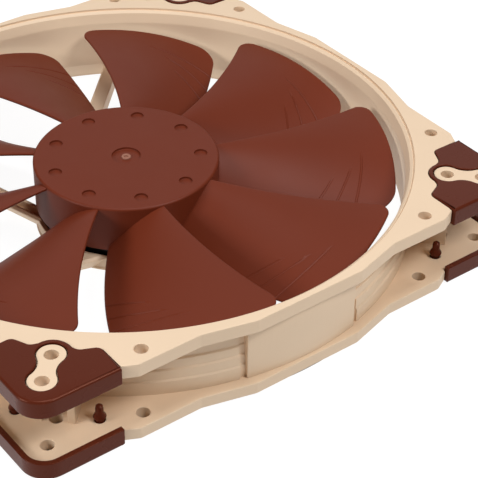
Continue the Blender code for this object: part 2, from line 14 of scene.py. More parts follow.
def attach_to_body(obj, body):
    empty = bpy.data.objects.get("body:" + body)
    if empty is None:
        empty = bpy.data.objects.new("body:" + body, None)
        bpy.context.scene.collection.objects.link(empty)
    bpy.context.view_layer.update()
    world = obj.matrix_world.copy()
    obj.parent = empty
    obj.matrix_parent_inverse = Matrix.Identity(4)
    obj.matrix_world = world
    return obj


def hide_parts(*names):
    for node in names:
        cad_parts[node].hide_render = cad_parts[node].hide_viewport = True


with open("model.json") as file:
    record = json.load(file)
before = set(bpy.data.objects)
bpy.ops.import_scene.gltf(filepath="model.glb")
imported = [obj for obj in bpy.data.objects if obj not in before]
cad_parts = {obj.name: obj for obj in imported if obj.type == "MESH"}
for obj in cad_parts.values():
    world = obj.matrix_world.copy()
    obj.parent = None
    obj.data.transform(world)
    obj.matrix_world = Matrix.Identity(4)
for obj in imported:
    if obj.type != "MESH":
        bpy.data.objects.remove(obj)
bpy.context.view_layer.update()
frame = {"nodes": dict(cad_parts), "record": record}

MM = 0.001
GAP = 0.3                      # clearance between a pad and the frame
TOP = 30.0                     # outer face of the intake pads
FACE_TOP = 29.5                # outer and inner face of the intake flange
TOP_INNER = 24.6
BOTTOM_INNER = 4.7             # inner and outer face of the outlet flange
FACE_BOTTOM = 0.5
SEAT_FLOOR = 2.3               # depth of a pad's seat below the flange's face
LOBE_MIDDLE = 81.0 * math.sqrt(2.0)      # centre of a corner's island, along the diagonal
LOBE_HALF = 8.0 * math.sqrt(2.0) / 2     # from there to the centre of either lobe


# ---------------------------------------------------------------- outlines

def polar(radius, degrees):
    angle = math.radians(degrees)
    return (radius * math.cos(angle), radius * math.sin(angle))


def arc(centre, radius, start, end, count):
    """Points on an arc, both ends included."""
    points = []
    for i in range(count + 1):
        x, y = polar(radius, start + (end - start) * i / count)
        points.append((centre[0] + x, centre[1] + y))
    return points


def circle(centre, radius, count):
    return arc(centre, radius, 0.0, 360.0, count)[:-1]


def turn_loop(loop, degrees):
    turn = Matrix.Rotation(math.radians(degrees), 2)
    return [tuple(turn @ Vector(p[:2])) + tuple(p[2:]) for p in loop]


def quarters(loop):
    whole = []
    for quarter in range(4):
        whole += turn_loop(loop, 90 * quarter)
    return whole


def rounded(points, radius, count=4):
    """A closed loop with its corners rounded; a point may carry its own radius as third value."""
    result = []
    for i, point in enumerate(points):
        wanted = point[2] if len(point) > 2 else radius
        here = Vector(point[:2])
        before = Vector(points[i - 1][:2]) - here
        after = Vector(points[(i + 1) % len(points)][:2]) - here
        room = 0.48 * min(before.length, after.length)
        before.normalize()
        after.normalize()
        half = math.acos(max(-1.0, min(1.0, before.dot(after)))) / 2
        if wanted <= 0 or half > math.radians(89.5):
            result.append(tuple(here))
            continue
        reach = min(wanted / math.tan(half), room)
        radius_here = reach * math.tan(half)
        centre = here + (before + after).normalized() * (radius_here / math.sin(half))
        first = here + before * reach - centre
        last = here + after * reach - centre
        start = math.atan2(first.y, first.x)
        sweep = (math.atan2(last.y, last.x) - start + math.pi) % (2 * math.pi) - math.pi
        steps = max(1, round(count * abs(sweep) / (math.pi / 2)))
        for k in range(steps + 1):
            angle = start + sweep * k / steps
            result.append((centre.x + radius_here * math.cos(angle),
                           centre.y + radius_here * math.sin(angle)))
    return result


# ---------------------------------------------------------------- mesh tools

ON_AXIS = 1e-6


def new_object(name, mesh):
    obj = bpy.data.objects.new(name, mesh)
    bpy.context.scene.collection.objects.link(obj)
    return obj


def from_bmesh(bm, name):
    mesh = bpy.data.meshes.new(name)
    bm.to_mesh(mesh)
    bm.free()
    return new_object(name, mesh)


def offset_loop(points, amounts):
    """Moves each point of a loop to the left of its direction of travel."""
    pts = np.array([p[:2] for p in points])
    step = np.roll(pts, -1, axis=0) - pts
    step /= np.linalg.norm(step, axis=1, keepdims=True)
    normal = np.stack([-step[:, 1], step[:, 0]], axis=1)
    before = np.roll(normal, 1, axis=0)
    mitre = (normal + before) / (1 + np.sum(normal * before, axis=1, keepdims=True))
    return pts + mitre * np.reshape(amounts, (-1, 1))


def area_sign(points):
    pts = np.array([p[:2] for p in points])
    nxt = np.roll(pts, -1, axis=0)
    return np.sum(pts[:, 0] * nxt[:, 1] - nxt[:, 0] * pts[:, 1])


def slab(name, outline, holes, z0, z1, edge, edge_low=None, hole_edge=0.2, steps=3):
    """A flat plate with rounded edges. edge is a radius, or a function of a point of the outline."""
    edge_low = edge if edge_low is None else edge_low
    bm = bmesh.new()
    caps = ([], [])
    for index, loop in enumerate([outline] + list(holes)):
        if (area_sign(loop) > 0) != (index == 0):
            loop = loop[::-1]
        rule_top = edge if index == 0 else hole_edge
        rule_low = edge_low if index == 0 else hole_edge
        radii = []
        for rule in (rule_low, rule_top):
            radii.append(np.array([rule(p) if callable(rule) else rule for p in loop]))
        rings = []
        for k in range(steps + 1):
            angle = math.pi / 2 * k / steps
            inset = radii[0] * (1 - math.sin(angle))
            height = z0 + radii[0] * (1 - math.cos(angle))
            rings.append((inset, height))
        for k in range(steps, -1, -1):
            angle = math.pi / 2 * k / steps
            inset = radii[1] * (1 - math.sin(angle))
            height = z1 - radii[1] * (1 - math.cos(angle))
            rings.append((inset, height))
        layers = []
        for inset, height in rings:
            flat = offset_loop(loop, inset)
            layers.append([bm.verts.new((x * MM, y * MM, z * MM))
                           for (x, y), z in zip(flat, height)])
        for low, high in zip(layers, layers[1:]):
            for i in range(len(low)):
                j = (i + 1) % len(low)
                bm.faces.new((low[i], low[j], high[j], high[i]))
        caps[0].append(layers[0])
        caps[1].append(layers[-1])
    for loops in caps:
        edges = [bm.edges.get((loop[i - 1], loop[i])) for loop in loops for i in range(len(loop))]
        bmesh.ops.triangle_fill(bm, use_beauty=True, edges=edges, normal=(0, 0, 1))
    bmesh.ops.recalc_face_normals(bm, faces=bm.faces)
    return from_bmesh(bm, name)


def lathe(name, profile, steps):
    """A closed profile of (radius, z) turned about the Z axis; a point on the axis stays one vertex."""
    bm = bmesh.new()
    columns = []
    for r, z in profile:
        if r < ON_AXIS:
            columns.append([bm.verts.new((0, 0, z * MM))] * steps)
            continue
        ring = []
        for i in range(steps):
            x, y = polar(r, 360 * i / steps)
            ring.append(bm.verts.new((x * MM, y * MM, z * MM)))
        columns.append(ring)
    for a, b in zip(columns, columns[1:] + columns[:1]):
        for i in range(steps):
            j = (i + 1) % steps
            corners = []
            for v in (a[i], a[j], b[j], b[i]):
                if v not in corners:
                    corners.append(v)
            if len(corners) > 2:
                bm.faces.new(corners)
    bmesh.ops.recalc_face_normals(bm, faces=bm.faces)
    return from_bmesh(bm, name)


def move(obj, matrix):
    obj.data.transform(matrix)
    return obj


def spin(obj, degrees):
    return move(obj, Matrix.Rotation(math.radians(degrees), 4, "Z"))


def merge(name, objects):
    """One mesh that holds several separate bodies."""
    bm = bmesh.new()
    for obj in objects:
        bm.from_mesh(obj.data)
        bpy.data.objects.remove(obj, do_unlink=True)
    return from_bmesh(bm, name)


def boolean(obj, operations):
    """Applies a list of (operation, tool) and drops the tools."""
    for operation, tool in operations:
        modifier = obj.modifiers.new(tool.name, "BOOLEAN")
        modifier.operation = operation
        modifier.solver = "MANIFOLD"
        modifier.object = tool
    bpy.context.view_layer.update()
    depsgraph = bpy.context.evaluated_depsgraph_get()
    mesh = bpy.data.meshes.new_from_object(obj.evaluated_get(depsgraph))
    obj.modifiers.clear()
    obj.data = mesh
    for _, tool in operations:
        bpy.data.objects.remove(tool, do_unlink=True)
    return obj


def finish_shape(obj, angle=32.0):
    """Smooth shading up to this angle between faces, sharp edges above it."""
    obj.data.shade_smooth()
    obj.data.set_sharp_from_angle(angle=math.radians(angle))
    weighted = obj.modifiers.new("even_shading", "WEIGHTED_NORMAL")
    weighted.keep_sharp = True
    weighted.weight = 100
    return obj


# ---------------------------------------------------------------- frame

HOLE_SPOTS = ((77.0, -77.0), (85.0, -85.0), (55.0, -90.0), (90.0, -55.0))
HOLE_RADIUS = 2.15
PEG_SPOTS = ((67.0, -85.0), (85.0, -67.0))
PEG_HOLE_RADIUS = 1.75
SEAT_HALF = 92.2               # half the side of the square that the pads' seats leave
STOCK = 93.0                   # inner radius before the bore is cut
RING_STEPS = 256

PANEL_RADIUS = 98.7
PANEL_HALF_ANGLE = 12.4
GROOVE_ANGLE = 12.95           # from the panel's middle to the groove's
GROOVE_HALF = 1.1

RIB_ENDS = (96.0, 110.6)       # along the corner's diagonal
RIB_OFFSET = 5.0
RIB_HALF = 1.2
RIB_BITE = 0.6                 # how far a rib runs into each flange

STRUTS = 6
STRUT_START = 46               # direction of the first strut, in degrees
STRUT_ENDS = (12.0, 98.0)


def frame_outline():
    """The flanges' outline: four equal sides with a bulge in the middle and a seat in each corner."""
    side = [(-59.3, -95.3, 2.0), (-37.5, -95.35, 3.0), (-20.0, -100.0, 3.0), (20.0, -100.0, 3.0),
            (37.5, -95.35, 3.0), (59.3, -95.3, 2.0), (64.0, -93.0), (64.0, -SEAT_HALF),
            (SEAT_HALF, -SEAT_HALF, 6.0), (SEAT_HALF, -64.0), (93.0, -64.0)]
    return rounded(quarters(side), 0.0, 8)


def island(grow):
    """The two-lobed island round a corner's holes, with the corner's diagonal along +X."""
    radius = 4.3 + grow
    waist = 2.8 + grow
    count = 14
    fillet = (LOBE_HALF ** 2 + waist ** 2 - radius ** 2) / (2 * (radius - waist))
    lean = math.degrees(math.atan2(waist + fillet, LOBE_HALF))
    outer = arc((LOBE_MIDDLE + LOBE_HALF, 0), radius, lean - 180, 180 - lean, 2 * count)
    upper = arc((LOBE_MIDDLE, waist + fillet), fillet, -lean, lean - 180, count)[1:-1]
    inner = arc((LOBE_MIDDLE - LOBE_HALF, 0), radius, lean, 360 - lean, 2 * count)
    lower = arc((LOBE_MIDDLE, -waist - fillet), fillet, 180 - lean, lean, count)[1:-1]
    return outer + upper + inner + lower


PAD_OUTER = 94.3               # from the axis to a pad's two outer sides
PAD_END = 64.3                 # from the axis to a pad's two ends
PAD_CORNER = 8.5
PAD_BUMP = 6.1                 # radius of the pad's inner edge round the island's inner lobe


def pad_outline(grow, extra=0.0):
    """A corner pad's outline with the corner's diagonal along +X, grown all round.

    extra only moves its outer sides and corner outwards.
    """
    outer = PAD_OUTER + extra
    centre = outer - PAD_CORNER
    corner = [p + (0.0,) for p in arc((centre, centre), PAD_CORNER, 0, 90, 14)]
    shell = turn_loop([(outer, PAD_END, 0.35)] + corner + [(PAD_END, outer, 0.35)], -45)
    bump = [p + (0.0,) for p in arc((LOBE_MIDDLE - LOBE_HALF, 0.0), PAD_BUMP, 130, 230, 16)]
    inner = [(104.0, 13.1, 2.4), (106.2, 7.0, 3.2)] + bump + [(106.2, -7.0, 3.2), (104.0, -13.1, 2.4)]
    loop = rounded(shell + inner, 0.0, 10)
    return [tuple(p) for p in offset_loop(loop, -grow)]


def flange(name, low, high, seat_up):
    """A flange with its holes, and the pads' seats in its upper or lower face."""
    holes = [circle(spot, HOLE_RADIUS, 40) for spot in quarters(HOLE_SPOTS)]
    holes += [circle(spot, PEG_HOLE_RADIUS, 24) for spot in quarters(PEG_SPOTS)]
    holes.append(circle((0, 0), STOCK, RING_STEPS))
    plate = slab(name, frame_outline(), holes, low, high, 0.35, hole_edge=0.22)
    seats = []
    for corner in range(4):
        turn = 45 + 90 * corner
        z0, z1 = (high - SEAT_FLOOR, high + 2) if seat_up else (low - 2, low + SEAT_FLOOR)
        seats.append(slab("seat", turn_loop(pad_outline(GAP, 3.0), turn),
                          [turn_loop(island(0.0), turn)], z0, z1, 0.02, hole_edge=0.02, steps=1))
    return boolean(plate, [("DIFFERENCE", merge("seats", seats))])


def ring_body():
    """The wall between the flanges: terraces outside, and a side panel between two grooves per side."""
    profile = [(96.5, 25.2), (96.5, 17.1, 0.2), (97.1, 16.7, 0.3), (97.1, 13.6, 0.2),
               (97.7, 13.1, 0.3), (97.7, 9.9, 0.2), (98.25, 9.4, 0.3), (98.25, 4.1),
               (STOCK, 4.1), (STOCK, 25.2)]
    ring = lathe("ring", rounded(profile, 0.0, 4), RING_STEPS)
    # The groove's floor steps down with the terraces and stays clear of the bore's outlet cone.
    floor = [(96.1, 28.0), (96.1, 17.0, 0.2), (96.5, 16.6, 0.2), (96.5, 13.5, 0.2), (97.0, 13.0, 0.2),
             (97.0, 9.8, 0.2), (97.5, 9.3, 0.2), (97.5, 2.0), (104.0, 2.0), (104.0, 28.0)]
    grooves = []
    panels = []
    for side in range(4):
        for sign in (-1, 1):
            groove = slab("groove", rounded(floor, 0.0, 3), [], -GROOVE_HALF, GROOVE_HALF, 0.1)
            move(groove, Matrix.Rotation(math.radians(90), 4, "X"))
            grooves.append(spin(groove, 90 * side + sign * GROOVE_ANGLE))
        start, end = 90 * side - PANEL_HALF_ANGLE, 90 * side + PANEL_HALF_ANGLE
        loop = arc((0, 0), PANEL_RADIUS, start, end, 20) + arc((0, 0), 94.4, end, start, 20)
        panels.append(slab("panel", rounded(loop, 0.25, 3), [], 4.2, 25.1, 0.1))
    return boolean(ring, [("DIFFERENCE", merge("grooves", grooves)), ("UNION", merge("panels", panels))])


def corner_ribs():
    """Two upright ribs in each corner."""
    near, far = RIB_ENDS
    ribs = []
    for corner in range(4):
        for sign in (-1, 1):
            low, high = RIB_OFFSET * sign - RIB_HALF, RIB_OFFSET * sign + RIB_HALF
            loop = rounded([(near, low), (far, low), (far, high), (near, high)], 0.3, 3)
            rib = slab("rib", loop, [], BOTTOM_INNER - RIB_BITE, TOP_INNER + RIB_BITE, 0.1)
            ribs.append(spin(rib, 45 + 90 * corner))
    return merge("ribs", ribs)


def bore_cutter():
    """The air path: a mouth with a small step, a straight throat and a flared outlet."""
    profile = [(98.1, 33.0), (98.1, 28.6, 0.15), (97.8, 28.6, 0.15), (97.55, 28.95, 0.2),
               (96.45, 28.1, 0.25), (95.3, 24.5, 3.0), (95.3, 6.7, 0.2), (97.9, 1.2, 0.4), (98.2, -2.0),
               (70.0, -2.0), (70.0, 33.0)]
    return lathe("bore", rounded(profile, 0.0, 6), RING_STEPS)


def struts():
    """Slanted struts, cut to length by the room between the motor cup and the wall."""
    section = [(20.3, 0.6, 0.3), (23.7, 0.6, 0.5), (26.4, 5.0, 0.5), (25.4, 6.0, 0.7), (20.3, 6.0, 0.4)]
    loop = rounded(section, 0.0, 6)
    beams = []
    for index in range(STRUTS):
        bm = bmesh.new()
        ends = [[bm.verts.new((x * MM, y * MM, z * MM)) for y, z in loop] for x in STRUT_ENDS]
        count = len(loop)
        for i in range(count):
            j = (i + 1) % count
            bm.faces.new((ends[0][i], ends[0][j], ends[1][j], ends[1][i]))
        bm.faces.new(ends[0][::-1])
        bm.faces.new(ends[1])
        bmesh.ops.recalc_face_normals(bm, faces=bm.faces)
        beams.append(spin(from_bmesh(bm, "beam"), STRUT_START + 360 / STRUTS * index))
    limit = [(96.0, 8.0), (96.0, 4.4), (98.9, 4.4), (98.9, -1.0), (30.9, -1.0), (30.9, 8.0)]
    return boolean(merge("struts", beams), [("INTERSECT", lathe("limit", limit, RING_STEPS))])


def motor_cup():
    """The cup that holds the motor, with a recess for the label under it."""
    profile = [(5.3, 5.5, 0.2), (7.5, 5.5, 0.3), (7.5, 2.5, 0.6), (30.2, 2.5, 0.8), (30.2, 5.4, 0.3),
               (31.8, 5.4, 0.4), (31.8, 1.6, 0.3), (32.2, 1.1, 0.3), (32.2, 0.5, 0.3), (27.0, 0.5, 0.2),
               (27.0, 1.0), (5.3, 1.0, 0.2)]
    return lathe("cup", rounded(profile, 0.0, 4), 160)


def wire_channel():
    """Cutter for the cord's outlet: a notch in the cup's rim that runs on into the second strut."""
    loop = rounded([(11.0, 21.8), (41.8, 21.8), (41.8, 24.9), (11.0, 24.9)], 0.6, 4)
    return spin(slab("channel", loop, [], 2.9, 9.0, 0.3), STRUT_START + 360 / STRUTS)


def build_frame():
    body = flange("frame_body", TOP_INNER, FACE_TOP, True)
    boolean(body, [("UNION", flange("lower", FACE_BOTTOM, BOTTOM_INNER, False)),
                   ("UNION", ring_body()), ("UNION", corner_ribs()), ("DIFFERENCE", bore_cutter()),
                   ("UNION", struts()), ("UNION", motor_cup()), ("DIFFERENCE", wire_channel())])
    return finish_shape(body)


# ---------------------------------------------------------------- corner pads

PAD_DEPTH = 6.2
PAD_PLATE = 2.5                # thickness of a pad's plate


def pad_edge(point):
    """Edge radius round a pad: full on its two outer sides and corner, small elsewhere."""
    turn = Matrix.Rotation(math.radians(45), 2)
    x, y = turn @ Vector(point[:2])
    centre = PAD_OUTER - PAD_CORNER
    on_side = max(x, y) > PAD_OUTER - 0.7
    on_corner = min(x, y) > centre and math.hypot(x - centre, y - centre) > PAD_CORNER - 0.25
    return 0.9 if on_side or on_corner else 0.3


def build_pad():
    """The intake pad in the corner between +X and +Y."""
    body = slab("pad", pad_outline(0.0), [island(0.4)], TOP - PAD_DEPTH, TOP, pad_edge, 0.25, 0.3, 4)
    wall = SEAT_HALF + GAP
    hollow = [(40.0, 40.0), (wall, 40.0), (wall, wall, 6.3), (40.0, wall)]
    loop = rounded(turn_loop(hollow, -45), 0.0, 14)
    pocket = slab("pocket", loop, [], TOP - PAD_DEPTH - 2, TOP - PAD_PLATE, 0.1)
    inner = TOP_INNER - GAP
    pegs = []
    for x, y in turn_loop([(x, -y) for x, y in PEG_SPOTS], -45):
        profile = [(0.0, 28.1), (1.4, 28.1), (1.4, inner), (2.1, inner - 0.3, 0.2), (1.85, inner - 1.0),
                   (1.25, inner - 2.1, 0.6), (1.25, inner - 3.6), (1.1, inner - 4.4), (0.6, inner - 4.85),
                   (0.0, inner - 4.9)]
        peg = lathe("peg", rounded(profile, 0.0, 3), 28)
        pegs.append(move(peg, Matrix.Translation((x * MM, y * MM, 0))))
    boolean(body, [("DIFFERENCE", pocket), ("UNION", merge("pegs", pegs))])
    return spin(body, 45)


def build_pads():
    """Eight pads of one shape: four on the intake side, and four turned over on the outlet side."""
    shape = build_pad()
    diagonal = Vector((1, 1, 0)).normalized()
    centre = Matrix.Translation((0, 0, TOP / 2 * MM))
    flip = centre @ Matrix.Rotation(math.pi, 4, diagonal) @ centre.inverted()
    pads = []
    for side, start in (("intake", Matrix.Identity(4)), ("outlet", flip)):
        for corner in range(4):
            mesh = shape.data.copy()
            mesh.transform(Matrix.Rotation(math.radians(90 * corner), 4, "Z") @ start)
            name = f"pad_{side}_{corner + 1}"
            pads.append((finish_shape(new_object(name + "_skin", mesh)), name))
    bpy.data.objects.remove(shape, do_unlink=True)
    return pads


# ---------------------------------------------------------------- impeller

BLADES = 9
HUB = 31.8
HUB_TOP = 25.8
TIP = 92.5
ROOT = 30.6                    # the blades start inside the hub's wall
LEAD_ANGLE = -60.4             # leading edge at the hub, in degrees
ROOT_CHORD = 35.0              # width of a blade at the hub, in degrees
TIP_CORNER = 6.0
LEAD_CORNER_END = 0.11         # shares of the chord where the tip's two corners end and start
TRAIL_CORNER_START = 0.87
CHORD_STEPS = 64
SPAN_STEPS = 40
CHANNELS = ((0.46, 82.0, 6.0), (0.58, 78.0, 17.0), (0.66, 71.5, 24.0))   # share, radius, slope
CHANNEL_RADIUS = 0.55
CHANNEL_END = 1.04             # just past the trailing edge, as a share of the chord
DIMPLE_CIRCLE = 25.5
DIMPLE_START = 87.4            # direction of the first dimple, in degrees


def blade_tip(share):
    """The blade's reach at a share of its chord, with the two tip corners rounded."""
    reach = TIP
    if share < LEAD_CORNER_END:
        across = 1 - share / LEAD_CORNER_END
        reach -= TIP_CORNER * (1 - math.sqrt(max(0.0, 1 - across ** 2)))
    if share > TRAIL_CORNER_START:
        across = (share - TRAIL_CORNER_START) / (1 - TRAIL_CORNER_START)
        reach -= TIP_CORNER * (1 - math.sqrt(max(0.0, 1 - across ** 2)))
    return reach


def blade_middle(share, radius):
    """Angle in degrees, upper face's height, thickness and chord length at a point of the first blade."""
    out = max(0.0, (radius - HUB) / (TIP - HUB))
    # Both edges sweep forward towards the tip.
    lead = LEAD_ANGLE + 8.0 * out ** 1.2
    trail = LEAD_ANGLE - ROOT_CHORD + 9.85 * out
    # The face is nearly level at the leading edge and steepens towards the trailing edge.
    lead_z = 25.1 - 1.3 * out
    trail_z = 10.3 - 4.0 * out + 9.1 * out ** 2
    z = lead_z - (lead_z - trail_z) * share ** (1.65 + 0.55 * out)
    # Thickest before the middle of the chord, and thinner towards the tip.
    thick = (1.7 - 0.5 * out) * (0.45 + 0.55 * math.sin(math.pi * min(1.0, share * 0.75 + 0.2)))
    chord = math.radians(lead - trail) * radius
    return lead + (trail - lead) * share, z, thick, chord


def edge_factor(distance, radius):
    """Share of the full thickness left at this distance from a rounded edge."""
    if distance >= radius:
        return 1.0
    return math.sqrt(max(0.0, 1 - (1 - distance / radius) ** 2))


def build_blade():
    """The first blade, as two grids of points that share their rim."""
    bm = bmesh.new()
    upper, lower = [], []
    for i in range(CHORD_STEPS + 1):
        share = (1 - math.cos(math.pi * i / CHORD_STEPS)) / 2
        reach = blade_tip(share)
        up_row, low_row = [], []
        for j in range(SPAN_STEPS + 1):
            radius = ROOT + (reach - ROOT) * math.sin(math.pi / 2 * j / SPAN_STEPS)
            angle, z, thick, chord = blade_middle(share, radius)
            nose = 0.5 * thick
            factor = edge_factor(share * chord, nose) * edge_factor((1 - share) * chord, nose * 0.8)
            factor *= edge_factor(reach - radius, nose)
            x, y = polar(radius, angle)
            middle = z - thick / 2
            top = bm.verts.new((x * MM, y * MM, (middle + thick / 2 * factor) * MM))
            rim = i in (0, CHORD_STEPS) or j == SPAN_STEPS
            under = top if rim else bm.verts.new((x * MM, y * MM, (middle - thick / 2 * factor) * MM))
            up_row.append(top)
            low_row.append(under)
        upper.append(up_row)
        lower.append(low_row)
    for i in range(CHORD_STEPS):
        for j in range(SPAN_STEPS):
            for grid, flip in ((upper, False), (lower, True)):
                corners = [grid[i][j], grid[i][j + 1], grid[i + 1][j + 1], grid[i + 1][j]]
                bm.faces.new(corners[::-1] if flip else corners)
    cap = [row[0] for row in upper] + [row[0] for row in lower[-2:0:-1]]
    bm.faces.new(cap)
    bmesh.ops.recalc_face_normals(bm, faces=bm.faces)
    return from_bmesh(bm, "blade")


def channel(start, radius, slope):
    """Cutter for a narrow channel in the first blade's upper face, from a share of the chord on.

    It sinks in over its first few rings, so that the channel fades in.
    """
    count, sides = 40, 10
    bm = bmesh.new()
    rings = []
    for i in range(count + 1):
        share = start + (CHANNEL_END - start) * i / count
        reach = radius - slope * (share - start)
        angle, z = blade_middle(min(share, 1.0), reach)[:2]
        lift = 0.25 + 0.4 * math.exp(-i / 3.0)
        x, y = polar(reach, angle - max(0.0, share - 1.0) * 40)
        centre = Vector((x, y, z + lift))
        across = Vector((x, y, 0)).normalized()
        ring = []
        for k in range(sides):
            turn = 2 * math.pi * k / sides
            point = centre + CHANNEL_RADIUS * (across * math.cos(turn) + Vector((0, 0, 1)) * math.sin(turn))
            ring.append(bm.verts.new(point * MM))
        rings.append(ring)
    for low, high in zip(rings, rings[1:]):
        for k in range(sides):
            j = (k + 1) % sides
            bm.faces.new((low[k], low[j], high[j], high[k]))
    bm.faces.new(rings[0])
    bm.faces.new(rings[-1])
    bmesh.ops.recalc_face_normals(bm, faces=bm.faces)
    return from_bmesh(bm, "channel")


def build_impeller():
    """Hub cap and blades in one body, with the dimples and the gate mark on the cap."""
    profile = [(0.0, HUB_TOP), (HUB, HUB_TOP, 0.9), (HUB, 8.8, 0.3), (29.8, 8.8, 0.2),
               (29.8, 23.8, 0.5), (0.0, 23.8)]
    hub = lathe("impeller_body", rounded(profile, 0.0, 6), 192)
    blade = build_blade()
    boolean(blade, [("DIFFERENCE", channel(*course)) for course in CHANNELS])
    pitch = 360 / BLADES
    blades = []
    for index in range(BLADES):
        copy = new_object("blade_copy", blade.data.copy())
        blades.append(spin(copy, pitch * index))
    bpy.data.objects.remove(blade, do_unlink=True)
    dimples = []
    for index in range(BLADES):
        x, y = polar(DIMPLE_CIRCLE, DIMPLE_START + pitch * index)
        profile = [(0.0, 27.0), (2.3, 27.0), (2.3, 25.0, 0.1), (0.0, 25.0)]
        dimple = lathe("dimple", rounded(profile, 0.0, 3), 40)
        dimples.append(move(dimple, Matrix.Translation((x * MM, y * MM, 0))))
    recess = [(0.0, 27.0), (5.0, 27.0), (5.0, 25.0, 0.2), (0.0, 25.0)]
    dimples.append(lathe("recess", rounded(recess, 0.0, 3), 64))
    gate = [(0.7, 24.8), (1.7, 24.8), (1.7, 25.35, 0.15), (1.45, 25.6, 0.15), (0.95, 25.6, 0.15),
            (0.7, 25.3)]
    boolean(hub, [("UNION", merge("blades", blades)), ("DIFFERENCE", merge("dimples", dimples)),
                  ("UNION", lathe("gate", rounded(gate, 0.0, 3), 32))])
    return finish_shape(hub, 38)


def build_yoke():
    """The rotor cup under the hub cap."""
    profile = [(1.8, 23.5), (29.5, 23.5, 0.6), (29.5, 4.0, 0.2), (28.5, 4.0, 0.2),
               (28.5, 22.5, 0.3), (1.8, 22.5)]
    return finish_shape(lathe("rotor_cup_skin", rounded(profile, 0.0, 5), 160))


# ---------------------------------------------------------------- materials

class Shader:
    """A Principled material with small helpers for its procedural nodes."""

    def __init__(self, name, colour, roughness, metallic=0.0):
        self.material = bpy.data.materials.new(name)
        self.material.use_nodes = True
        self.tree = self.material.node_tree
        self.main = self.tree.nodes["Principled BSDF"]
        self.main.inputs["Base Color"].default_value = (*colour, 1.0)
        self.main.inputs["Roughness"].default_value = roughness
        self.main.inputs["Metallic"].default_value = metallic
        self.colour = colour
        self.roughness = roughness
        self.coords = self.tree.nodes.new("ShaderNodeTexCoord").outputs["Object"]

    def set(self, **values):
        for name, value in values.items():
            self.main.inputs[name.replace("_", " ")].default_value = value
        return self

    def noise(self, scale, detail=3.0, stretch=(1, 1, 1)):
        mapping = self.tree.nodes.new("ShaderNodeMapping")
        mapping.inputs["Scale"].default_value = stretch
        self.tree.links.new(self.coords, mapping.inputs["Vector"])
        node = self.tree.nodes.new("ShaderNodeTexNoise")
        node.inputs["Scale"].default_value = scale
        node.inputs["Detail"].default_value = detail
        self.tree.links.new(mapping.outputs["Vector"], node.inputs["Vector"])
        return node.outputs["Fac"]

    def ramp(self, value, low, high, start=0.35, end=0.65):
        """Maps start..end onto low..high; the defaults spread a noise's middle over the whole range."""
        node = self.tree.nodes.new("ShaderNodeMapRange")
        node.inputs["From Min"].default_value = start
        node.inputs["From Max"].default_value = end
        node.inputs["To Min"].default_value = low
        node.inputs["To Max"].default_value = high
        self.tree.links.new(value, node.inputs["Value"])
        return node.outputs["Result"]

    def tint(self, value, dark, light):
        """Base colour between two shades of the material's own colour."""
        mix = self.tree.nodes.new("ShaderNodeMix")
        mix.data_type = "RGBA"
        mix.inputs["A"].default_value = (*[c * dark for c in self.colour], 1.0)
        mix.inputs["B"].default_value = (*[c * light for c in self.colour], 1.0)
        self.tree.links.new(self.ramp(value, 0.0, 1.0), mix.inputs["Factor"])
        self.tree.links.new(mix.outputs["Result"], self.main.inputs["Base Color"])
        return self

    def painted_highlight_spot(self, radius, colour):
        """A painted highlight: a paler spot of this radius on the Z axis, over whatever colour is there."""
        flat = self.tree.nodes.new("ShaderNodeMapping")
        flat.inputs["Scale"].default_value = (1, 1, 0)
        length = self.tree.nodes.new("ShaderNodeVectorMath")
        length.operation = "LENGTH"
        mix = self.tree.nodes.new("ShaderNodeMix")
        mix.data_type = "RGBA"
        self.tree.links.new(self.coords, flat.inputs["Vector"])
        self.tree.links.new(flat.outputs["Vector"], length.inputs[0])
        reach = self.ramp(length.outputs["Value"], 1.0, 0.0, radius * 0.9, radius)
        self.tree.links.new(reach, mix.inputs["Factor"])
        self.tree.links.new(self.main.inputs["Base Color"].links[0].from_socket, mix.inputs["A"])
        mix.inputs["B"].default_value = (*colour, 1.0)
        self.tree.links.new(mix.outputs["Result"], self.main.inputs["Base Color"])
        return self

    def vary_roughness(self, value, amount):
        out = self.ramp(value, self.roughness - amount, self.roughness + amount)
        self.tree.links.new(out, self.main.inputs["Roughness"])
        return self

    def bump(self, value, strength, distance):
        node = self.tree.nodes.new("ShaderNodeBump")
        node.inputs["Strength"].default_value = strength
        node.inputs["Distance"].default_value = distance
        self.tree.links.new(value, node.inputs["Height"])
        self.tree.links.new(node.outputs["Normal"], self.main.inputs["Normal"])
        return self


def moulded(name, colour, roughness, grain=0.25, metallic=0.0):
    """Moulded or cast surface: faint mottling, uneven sheen and a fine grain."""
    shader = Shader(name, colour, roughness, metallic)
    shader.tint(shader.noise(38.0, 4.0), 0.985, 1.015)
    shader.vary_roughness(shader.noise(90.0, 3.0), 0.02)
    shader.set(Specular_IOR_Level=0.35)
    shader.bump(shader.noise(2600.0, 2.0), grain, 0.00002)
    return shader


def turned_metal(name, colour, roughness):
    """Turned or drawn metal: fine marks round the part."""
    shader = Shader(name, colour, roughness, 1.0)
    shader.tint(shader.noise(60.0, 3.0), 0.9, 1.05)
    shader.vary_roughness(shader.noise(250.0, 2.0, (1, 1, 8)), 0.06)
    shader.bump(shader.noise(900.0, 2.0, (1, 1, 6)), 0.15, 0.00002)
    return shader


def winding(name, colour):
    """Enamelled wire, laid in turns."""
    shader = Shader(name, colour, 0.28, 1.0)
    wave = shader.tree.nodes.new("ShaderNodeTexWave")
    wave.bands_direction = "Z"
    wave.inputs["Scale"].default_value = 620.0
    wave.inputs["Distortion"].default_value = 0.4
    shader.tree.links.new(shader.coords, wave.inputs["Vector"])
    shader.tint(wave.outputs["Fac"], 0.55, 1.05)
    shader.bump(wave.outputs["Fac"], 0.6, 0.0001)
    return shader


